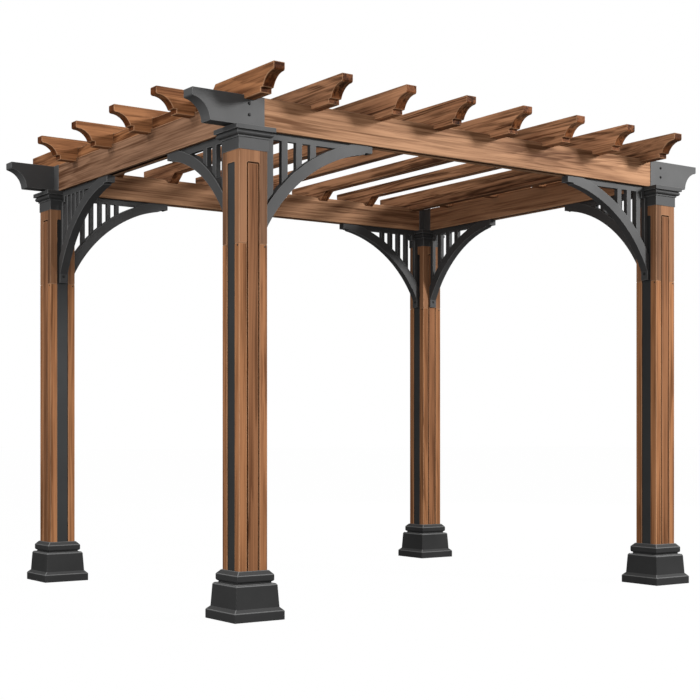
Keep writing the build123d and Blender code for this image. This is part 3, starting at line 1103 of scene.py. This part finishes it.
@dataclass
class GussetBolts:
    """Bolts through the foot of each arch into the post and through its tip into the beam.

    Attributes:
        foot_thickness: thickness of the arch at its foot.
        above_foot: height of the lower bolt above the foot.
        tip_depth: depth of the squared tip under the beam.
        short_of_tip: distance of the upper bolt from the tip.
    """

    foot_thickness: float = 0.014
    above_foot: float = 0.034
    tip_depth: float = 0.033
    short_of_tip: float = 0.020

    def build(self) -> None:
        """Drive both bolts of every gusset from inside the arch."""
        bolts = Fasteners(
            "gusset_bolts", head=0.0062, height=0.004, washer=0.0085, washer_height=0.0014
        )
        for corner in CORNERS:
            post = middle_of(f"foot_{corner}")
            for node in gussets_at(corner):
                low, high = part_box(node)
                middle = middle_of(node)
                along = Vector((middle.x - post.x, middle.y - post.y, 0.0)).normalized()
                half = abs((high - low).dot(along)) / 2
                foot = middle - along * (half - self.foot_thickness)
                tip = middle + along * (half - self.short_of_tip)
                bolts.drive(Vector((foot.x, foot.y, low.z + self.above_foot)), along)
                bolts.drive(Vector((tip.x, tip.y, high.z - self.tip_depth)), Vector((0.0, 0.0, -1.0)))
        bolts.build()


@dataclass
class SeamScrews:
    """One screw by the joint on each face of each post, near the edge on the right hand.

    Attributes:
        from_edge: distance of a screw from the post's edge.
        below_seam: depth of a screw below the joint.
    """

    from_edge: float = 0.012
    below_seam: float = 0.010

    def build(self) -> None:
        """Drive the screws into the lower length of every post."""
        screws = Fasteners(
            "seam_screws", head=0.0032, height=0.0012, washer=0.0042, washer_height=0.0008, sides=12
        )
        for corner in CORNERS:
            low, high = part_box(f"post_lower_{corner}")
            middle = (low + high) / 2
            half = (high.x - low.x) / 2
            for quarter in range(4):
                turn = Matrix.Rotation(quarter * math.pi / 2, 3, "Z")
                edge = turn @ Vector((half - self.from_edge, -half, 0.0))
                where = Vector((middle.x + edge.x, middle.y + edge.y, high.z - self.below_seam))
                screws.drive(where, turn @ Vector((0.0, -1.0, 0.0)))
        screws.build()


@dataclass(frozen=True)
class SoftLight:
    """Square soft light that faces the middle of the pergola.

    Attributes:
        name: the light's name.
        place: where it hangs.
        size: its side.
        watts: its power.
    """

    name: str
    place: Triple
    size: float
    watts: float

    def hang(self) -> None:
        """Add the light to the scene."""
        light = bpy.data.lights.new(self.name, "AREA")
        light.size = self.size
        light.energy = self.watts
        lamp = bpy.data.objects.new(self.name, light)
        lamp.location = self.place
        aim = (CAD_BOX[0] + CAD_BOX[1]) / 2 - Vector(self.place)
        lamp.rotation_euler = aim.to_track_quat("-Z", "Y").to_euler()
        bpy.context.scene.collection.objects.link(lamp)


@dataclass
class Studio:
    """Pale floor, soft light and the camera at the photograph's viewing angle.

    Attributes:
        floor_half: half the side of the floor.
        floor_colour: colour of the floor.
        floor_glow: share of the floor's look that is even light, so that it meets the surround.
        floor_bounce: grey of the floor as it lights the pergola.
        sky: strength of the surround's light on the pergola.
        lights: the soft lights.
        camera_place: where the camera stands.
        camera_turn: turn of the level camera about the upright, in degrees.
        sensor: width of the camera's sensor in millimetres.
        lens: focal length in millimetres.
        shift: sideways and upward shift of the lens.
    """

    floor_half: float = 60.0
    floor_colour: Triple = grey(0.92)
    floor_glow: float = 0.99
    floor_bounce: float = 0.14
    sky: float = 0.34
    lights: tuple[SoftLight, ...] = (
        SoftLight("key", (5.0, -7.2, 4.2), size=1.5, watts=830.0),
        SoftLight("left", (-6.6, 1.4, 4.2), size=1.3, watts=140.0),
        SoftLight("side", (-7.0, -3.0, 1.9), size=3.0, watts=150.0),
        SoftLight("fill", (-5.6, -6.4, 0.9), size=2.4, watts=130.0),
        SoftLight("back", (6.0, 5.6, 3.4), size=3.0, watts=330.0),
    )
    camera_place: Triple = (-4.370, -6.115, 0.789)
    camera_turn: float = -34.96
    sensor: float = 36.0
    lens: float = 72.05
    shift: tuple[float, float] = (0.0159, 0.1199)

    def build_floor(self) -> None:
        """Lay the floor just under the feet."""
        shape = bmesh.new()
        bmesh.ops.create_grid(shape, x_segments=1, y_segments=1, size=self.floor_half)
        mesh = bpy.data.meshes.new("floor")
        shape.to_mesh(mesh)
        shape.free()
        mesh.materials.append(self.floor_material())
        floor = bpy.data.objects.new("floor", mesh)
        bpy.context.scene.collection.objects.link(floor)

    def floor_material(self) -> bpy.types.Material:
        """Make a floor that looks as pale as the surround and throws little light back up.

        Returns:
            The floor's material.
        """
        material, bench, shader = start_material("pale_floor")
        material.node_tree.nodes.remove(shader)
        glow = bench.place("ShaderNodeEmission")
        bench.feed(glow.inputs["Color"], WHITE)
        looked_at = bench.place("ShaderNodeBsdfDiffuse")
        bench.feed(looked_at.inputs["Color"], (*self.floor_colour, 1.0))
        bounced = bench.place("ShaderNodeBsdfDiffuse")
        bench.feed(bounced.inputs["Color"], (*grey(self.floor_bounce), 1.0))
        pale = bench.place("ShaderNodeMixShader")
        both = bench.place("ShaderNodeMixShader")
        bench.feed(pale.inputs["Fac"], self.floor_glow)
        bench.feed(both.inputs["Fac"], bench.place("ShaderNodeLightPath").outputs["Is Camera Ray"])
        for mixer, first, second in ((pale, looked_at, glow), (both, bounced, pale)):
            bench.feed(mixer.inputs[1], first.outputs[0])
            bench.feed(mixer.inputs[2], second.outputs[0])
        bench.feed(material.node_tree.nodes["Material Output"].inputs["Surface"], both.outputs[0])
        return material

    def build_light(self) -> None:
        """Hang the soft lights and set the even surround."""
        world = bpy.data.worlds.new("studio")
        world.use_nodes = True
        bench = NodeBench(world.node_tree)
        surround = world.node_tree.nodes["Background"]
        bench.feed(surround.inputs["Color"], WHITE)
        seen = bench.place("ShaderNodeLightPath").outputs["Is Camera Ray"]
        bench.feed(surround.inputs["Strength"], bench.math("MAXIMUM", seen, self.sky))
        bpy.context.scene.world = world
        for light in self.lights:
            light.hang()

    def build_camera(self) -> None:
        """Set up the level camera with the photograph's shift."""
        camera = bpy.data.cameras.new("camera")
        camera.sensor_width = self.sensor
        camera.lens = self.lens
        camera.shift_x, camera.shift_y = self.shift
        stand = bpy.data.objects.new("camera", camera)
        stand.location = self.camera_place
        stand.rotation_euler = (math.pi / 2, 0.0, math.radians(self.camera_turn))
        bpy.context.scene.collection.objects.link(stand)
        bpy.context.scene.camera = stand

    def build(self) -> None:
        """Set up the whole studio."""
        self.build_floor()
        self.build_light()
        self.build_camera()
        bpy.context.scene.view_settings.view_transform = "Standard"


def main() -> None:
    """Build the pergola from the ground up, then the studio round it."""
    logging.basicConfig(level=logging.INFO, format="%(name)s %(message)s")
    gussets = tuple(node for corner in CORNERS for node in gussets_at(corner))
    rafters = tuple(f"rafter_{number}" for number in range(2, 9))
    tails = ("left_tails", "right_tails")
    for pieces in (
        Metalwork(at_corners("foot"), arris=0.0025, finish=FOOT_COAT),
        Timbers(at_corners("post_lower"), arris=0.003, finish=POST_STAIN),
        Timbers(at_corners("post_upper"), arris=0.003, finish=HEAD_STAIN),
        Timbers(("post_inlays",), arris=0.002, finish=INLAY_STAIN),
        Metalwork(("post_metal_strips",), arris=0.0008, finish=STRIP_COAT),
        Metalwork(at_corners("cap"), arris=0.0020, finish=CAP_COAT),
        Metalwork(at_corners("bracket"), arris=0.0012, finish=PLATE_COAT),
        Metalwork(gussets, arris=0.0020, finish=GUSSET_COAT),
        Timbers(("beam_front", "beam_back"), arris=0.003, finish=BEAM_STAIN, grain=Grain.ALONG_X),
        Timbers(("beam_left",), arris=0.003, finish=LEFT_BEAM_STAIN, grain=Grain.ALONG_Y),
        Timbers(("beam_right",), arris=0.003, finish=BEAM_STAIN, grain=Grain.ALONG_Y),
        Timbers(rafters, arris=0.004, finish=RAFTER_STAIN, grain=Grain.ALONG_Y, tone_range=0.14),
        Timbers(("rafter_1",), arris=0.004, finish=SIDE_STAIN, grain=Grain.ALONG_Y),
        Timbers(tails, arris=0.004, finish=SIDE_STAIN, grain=Grain.ALONG_X),
        BracketBolts(),
        GussetBolts(),
        SeamScrews(),
        Studio(),
    ):
        pieces.build()


if __name__ == "__main__":
    main()
